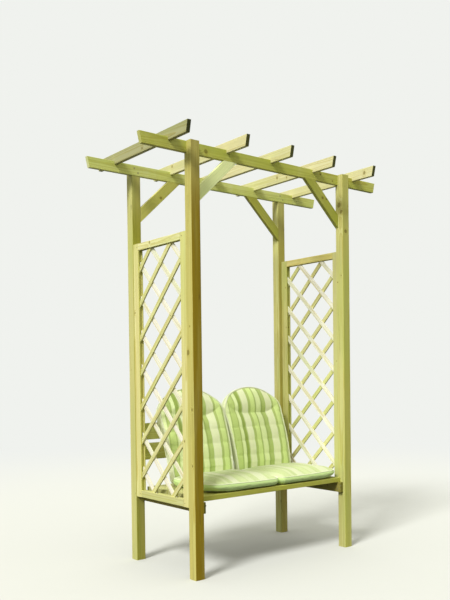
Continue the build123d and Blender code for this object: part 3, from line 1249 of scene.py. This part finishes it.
class PergolaSeatCushions(bpy.types.Operator):
    """Make the two seat cushions"""

    bl_idname = "pergola.seat_cushions"
    bl_label = "Seat cushions"

    def execute(self, context):
        cloth = context.scene.pergola_cloth
        low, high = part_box("right_seat_cushion")
        inset, lift = 0.0025, 0.007
        wide, deep, thick = high.x - low.x - 2 * inset, high.y - low.y - 2 * inset, high.z - low.z
        rims = (lift, thick - lift)
        crown_height, crown_run, droop_depth, droop_run = 0.021, 0.100, 0.004, 0.070
        curl, curl_reach, curl_run = 0.006, 0.130, 0.090
        blank = seat_blank(wide, deep, rims)
        outline = rim_points(blank, rims)[:, :2]
        open_rim = outline[outline[:, 1] < deep - 0.02]

        def form(points):
            """Crowned, with round sides; the front edge droops and the outer corner curls up a little."""
            shaped = points.copy()
            x, y = points[:, 0], points[:, 1]
            top = share_between(rims, points)
            under = 1 - top
            crown = rise(nearest_distance(points[:, :2], open_rim) / crown_run)
            crown *= 0.45 + 0.55 * rise((deep - y) / crown_run)
            droop = droop_depth * ease((droop_run - y) / droop_run) * (1 - ease((x + 0.05) / 0.20))
            corner = ease((curl_reach - np.hypot(x - wide / 2, y)) / curl_run)
            shaped[:, 2] += top * (crown_height * crown - droop) + curl * corner * under
            tuck = (0.006 + 0.004 * corner) * under - 0.028 * top * under
            shaped[:, 0] *= 1 - tuck / (wide / 2)
            shaped[:, 1] = deep / 2 + (shaped[:, 1] - deep / 2) * (1 - tuck / (deep / 2))
            return shaped

        def seams(points):
            return np.zeros(len(points))

        def cap(points):
            limit = np.where(points[:, 2] > thick / 2, 0.008, 0.006)
            return np.where(points[:, 1] > deep - 0.01, 0.003, limit)

        def keep_in(points):
            """On the boards, and clear of the cushions next to it and behind it."""
            points[:, 2] = np.clip(points[:, 2], 0.0004, None)
            points[:, 1] = np.clip(points[:, 1], None, deep + inset - 0.001)
            points[:, 0] = np.clip(points[:, 0], 0.0003 - wide / 2 - inset, None)

        def placing(low, high):
            return Matrix.Translation(((low.x + high.x) / 2, low.y + inset, low.z))

        piping = make_piping(blank, rims[1:], 0.75 * cloth.piping_thick, 0.0, form)
        stuff_cushion(blank, cloth, rims, form, seams, cap, keep_in)
        # The side band takes the seat band colour, whose green is partly painted shade and painted green bounce
        # light
        finishes = cushion_finishes(cloth, "seat_cushion_cloth", 0.8, 0.70, cloth.band)
        place_pair((blank, piping), finishes, "seat", True, placing)
        return {"FINISHED"}


class PergolaBackCushions(bpy.types.Operator):
    """Make the two back cushions, each with a puffier head section over a curved seam"""

    bl_idname = "pergola.back_cushions"
    bl_label = "Back cushions"

    def execute(self, context):
        cloth = context.scene.pergola_cloth
        low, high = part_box("right_back_cushion")
        lean = math.radians(12)
        upright, sloped = math.cos(lean), math.sin(lean)
        wide, foot, foot_shift, thick, arch = 0.464, 0.430, 0.026, 0.056, 0.165
        inset, lift = 0.005, 0.008
        full_tall = (high.z - low.z - thick * sloped) / upright
        shoulder = full_tall - arch - inset
        rims = (lift, thick - lift)
        blank = back_blank(wide - 2 * inset, foot - 2 * inset, foot_shift, shoulder, arch - inset, rims)
        outline = rim_points(blank, rims)[:, :2]
        head_seam = 0.381 - inset
        rows = (0.290, 0.205, 0.120)
        head_fall, head_height, body_height, row_depth = 0.024, 0.015, 0.012, 0.0012
        bow_depth, bow_from = 0.008, 0.015
        over_seat, seat_top = 0.0008, 0.087

        def seam_height(across):
            return head_seam + 0.050 * np.clip((np.abs(across) - 0.06) / 0.14, 0, None) ** 2

        def form(points):
            """The body bows forward and is crowned; the head stands out over its seam and falls back."""
            shaped = points.copy()
            front = share_between(rims, points)
            from_rim = nearest_distance(points[:, :2], outline)
            over = points[:, 1] - seam_height(points[:, 0])
            back = head_fall * ease(over / 0.120)
            head = rise(over / 0.045) * (head_height + back) * rise(from_rim / 0.150) - back
            body = body_height * rise(-over / 0.050) * rise(from_rim / 0.080)
            rows_off = np.min([np.abs(points[:, 1] - row) for row in rows], axis=0)
            body -= row_depth * rise(-over / 0.050) * np.exp(-((rows_off / 0.005) ** 2))
            shaped[:, 2] += front * (head + body)
            bow = np.sin(math.pi * np.clip((points[:, 1] - bow_from) / (head_seam - bow_from), 0, 1))
            shaped[:, 2] += bow * (bow_depth + bow_depth * front)
            return shaped

        def seams(points):
            """The seam under the head is sewn firmly and the quilted rows lightly, through the front alone."""
            def sewn(off, half_width):
                return np.where(points[:, 2] > thick / 2, 1 - np.clip((off - half_width) / 0.004, 0, 1), 0)

            firm = sewn(np.abs(points[:, 1] - seam_height(points[:, 0])), 0.002)
            for row in rows:
                firm = np.maximum(firm, 0.3 * sewn(np.abs(points[:, 1] - row), 0.0015))
            return firm

        def cap(points):
            head = points[:, 1] > seam_height(points[:, 0])
            return np.where((points[:, 2] >= thick / 2) & head, 0.010, 0.006)

        def keep_in(points):
            """Over the seat, behind the seat cushion, and clear of the cushion next to it."""
            points[:, 2] = np.clip(points[:, 2], 0.0006, None)
            height = points[:, 1] * upright + points[:, 2] * sloped
            points[:, 1] += np.clip(over_seat - height, 0, None) / upright
            low_down = np.clip((seat_top - height) / 0.015, 0, 1)
            furthest = thick + (points[:, 1] * sloped - 0.002) / upright
            points[:, 2] -= low_down * np.clip(points[:, 2] - furthest, 0, None)
            below = np.clip(1 - points[:, 1] / shoulder, 0, 1)
            left = -wide / 2 + 0.0008 + (foot_shift - foot / 2 + wide / 2) * below
            right = wide / 2 - 0.0008 + (foot_shift + foot / 2 - wide / 2) * below
            points[:, 0] = np.clip(points[:, 0], left, right)

        def placing(low, high):
            heel = Matrix.Translation((low.x + wide / 2, low.y + thick * upright, low.z))
            return heel @ Matrix.Rotation(math.pi / 2 - lean, 4, "X") @ Matrix.Translation((0, inset, 0))

        piping = make_piping(blank, rims, cloth.piping_thick, 0.0012, form)
        stuff_cushion(blank, cloth, rims, form, seams, cap, keep_in)
        finishes = cushion_finishes(cloth, "back_cushion_cloth", 0.1, 1.0, dimmed(cloth.pale, 0.85))
        place_pair((blank, piping), finishes, "back", False, placing)
        return {"FINISHED"}


def seen_directly(tree):
    """1 for rays that look at the backdrop, straight or in a gloss, and 0 for the light that it throws."""
    rays = add_node(tree, "ShaderNodeLightPath").outputs
    seen = do_math("MAXIMUM", rays["Is Camera Ray"], rays["Is Glossy Ray"])
    return do_math("MAXIMUM", seen, rays["Is Transmission Ray"])


def lay_floor(stage):
    """Grey enough near the object to show its shadow, and as bright as the backdrop far off."""
    deselect_all()
    bpy.ops.mesh.primitive_circle_add(vertices=96, radius=40, fill_type="NGON", location=(0, 0, 0))
    floor = bpy.context.object
    material, tree, shader = new_material("pale_floor")
    seen = seen_directly(tree)
    shown, thrown = dimmed(stage.backdrop, 0.72), dimmed(stage.backdrop, stage.bounce)
    set_inputs(shader.inputs, {
        "Base Color": mix_colours(seen, thrown, shown), "Roughness": 0.95, "Specular IOR Level": 0.0,
    })
    far = smooth_step(length_of(texture_place(tree)), 1.8, 7.0)
    glow = add_node(tree, "ShaderNodeEmission", {"Color": opaque(stage.backdrop), "Strength": 1.0})
    surface = mixed_shaders(times(far, seen), shader.outputs[0], glow.outputs[0])
    set_inputs(tree.nodes["Material Output"].inputs, {"Surface": surface})
    name_piece(floor, "floor", material)


def light_stage(stage):
    """Even light from all round, and a broad low sun from the left."""
    world = bpy.data.worlds.new("soft_sky")
    world.use_nodes = True
    tree = world.node_tree
    tree.nodes.clear()
    light, show = (
        add_node(tree, "ShaderNodeBackground", {"Color": opaque(colour), "Strength": strength}).outputs[0]
        for colour, strength in (((1.0, 0.99, 0.88), stage.sky), (stage.backdrop, 1.0))
    )
    add_node(tree, "ShaderNodeOutputWorld", {"Surface": mixed_shaders(seen_directly(tree), light, show)})
    bpy.context.scene.world = world
    towards = Vector((-0.68, -0.25, 0.69))
    bpy.ops.object.light_add(type="SUN", location=towards * 5)
    sun = bpy.context.object
    sun.rotation_euler = towards.to_track_quat("Z", "Y").to_euler()
    set_values(sun.data, {"energy": stage.key, "angle": math.radians(16), "color": (1.0, 0.99, 0.96)})


def set_camera(stage):
    bpy.ops.object.camera_add(location=stage.camera)
    camera = bpy.context.object
    turn = (
        Matrix.Rotation(-stage.yaw, 3, "Z")
        @ Matrix.Rotation(math.pi / 2 + stage.pitch, 3, "X")
        @ Matrix.Rotation(stage.roll, 3, "Z")
    )
    camera.rotation_euler = turn.to_euler()
    set_values(camera.data, {"sensor_width": 36, "lens": stage.lens, "shift_y": stage.raised})
    bpy.context.scene.camera = camera


class PergolaStage(bpy.types.Operator):
    """Set the pale floor, the soft lights and the camera"""

    bl_idname = "pergola.stage"
    bl_label = "Stage"

    def execute(self, context):
        stage = context.scene.pergola_stage
        lay_floor(stage)
        light_stage(stage)
        set_camera(stage)
        context.scene.view_settings.view_transform = "Standard"
        return {"FINISHED"}


class PergolaPanel(bpy.types.Panel):
    """Sizes, colours and steps of the pergola"""

    bl_idname = "VIEW3D_PT_pergola"
    bl_label = "Pergola"
    bl_space_type = "VIEW_3D"
    bl_region_type = "UI"
    bl_category = "Pergola"

    def draw(self, context):
        for name, group in GROUPS:
            box = self.layout.box()
            for key in group.__annotations__:
                box.prop(getattr(context.scene, name), key)
        for step in STEPS:
            self.layout.operator(step.bl_idname)


GROUPS = (
    ("pergola_pine", PineFinish),
    ("pergola_fixings", Fixings),
    ("pergola_cloth", CushionCloth),
    ("pergola_stage", StageSet),
)
STEPS = (
    PergolaPineFinish,
    PergolaScrews,
    PergolaTrellisFixings,
    PergolaSeatCushions,
    PergolaBackCushions,
    PergolaStage,
)


def register():
    for name, group in GROUPS:
        bpy.utils.register_class(group)
        setattr(bpy.types.Scene, name, PointerProperty(type=group))
    for step in (*STEPS, PergolaPanel):
        bpy.utils.register_class(step)


def unregister():
    for step in (PergolaPanel, *reversed(STEPS)):
        bpy.utils.unregister_class(step)
    for name, group in reversed(GROUPS):
        delattr(bpy.types.Scene, name)
        bpy.utils.unregister_class(group)


def main():
    register()
    bpy.ops.pergola.pine_finish()
    bpy.ops.pergola.screws()
    bpy.ops.pergola.trellis_fixings()
    bpy.ops.pergola.seat_cushions()
    bpy.ops.pergola.back_cushions()
    bpy.ops.pergola.stage()


if __name__ == "__main__":
    main()
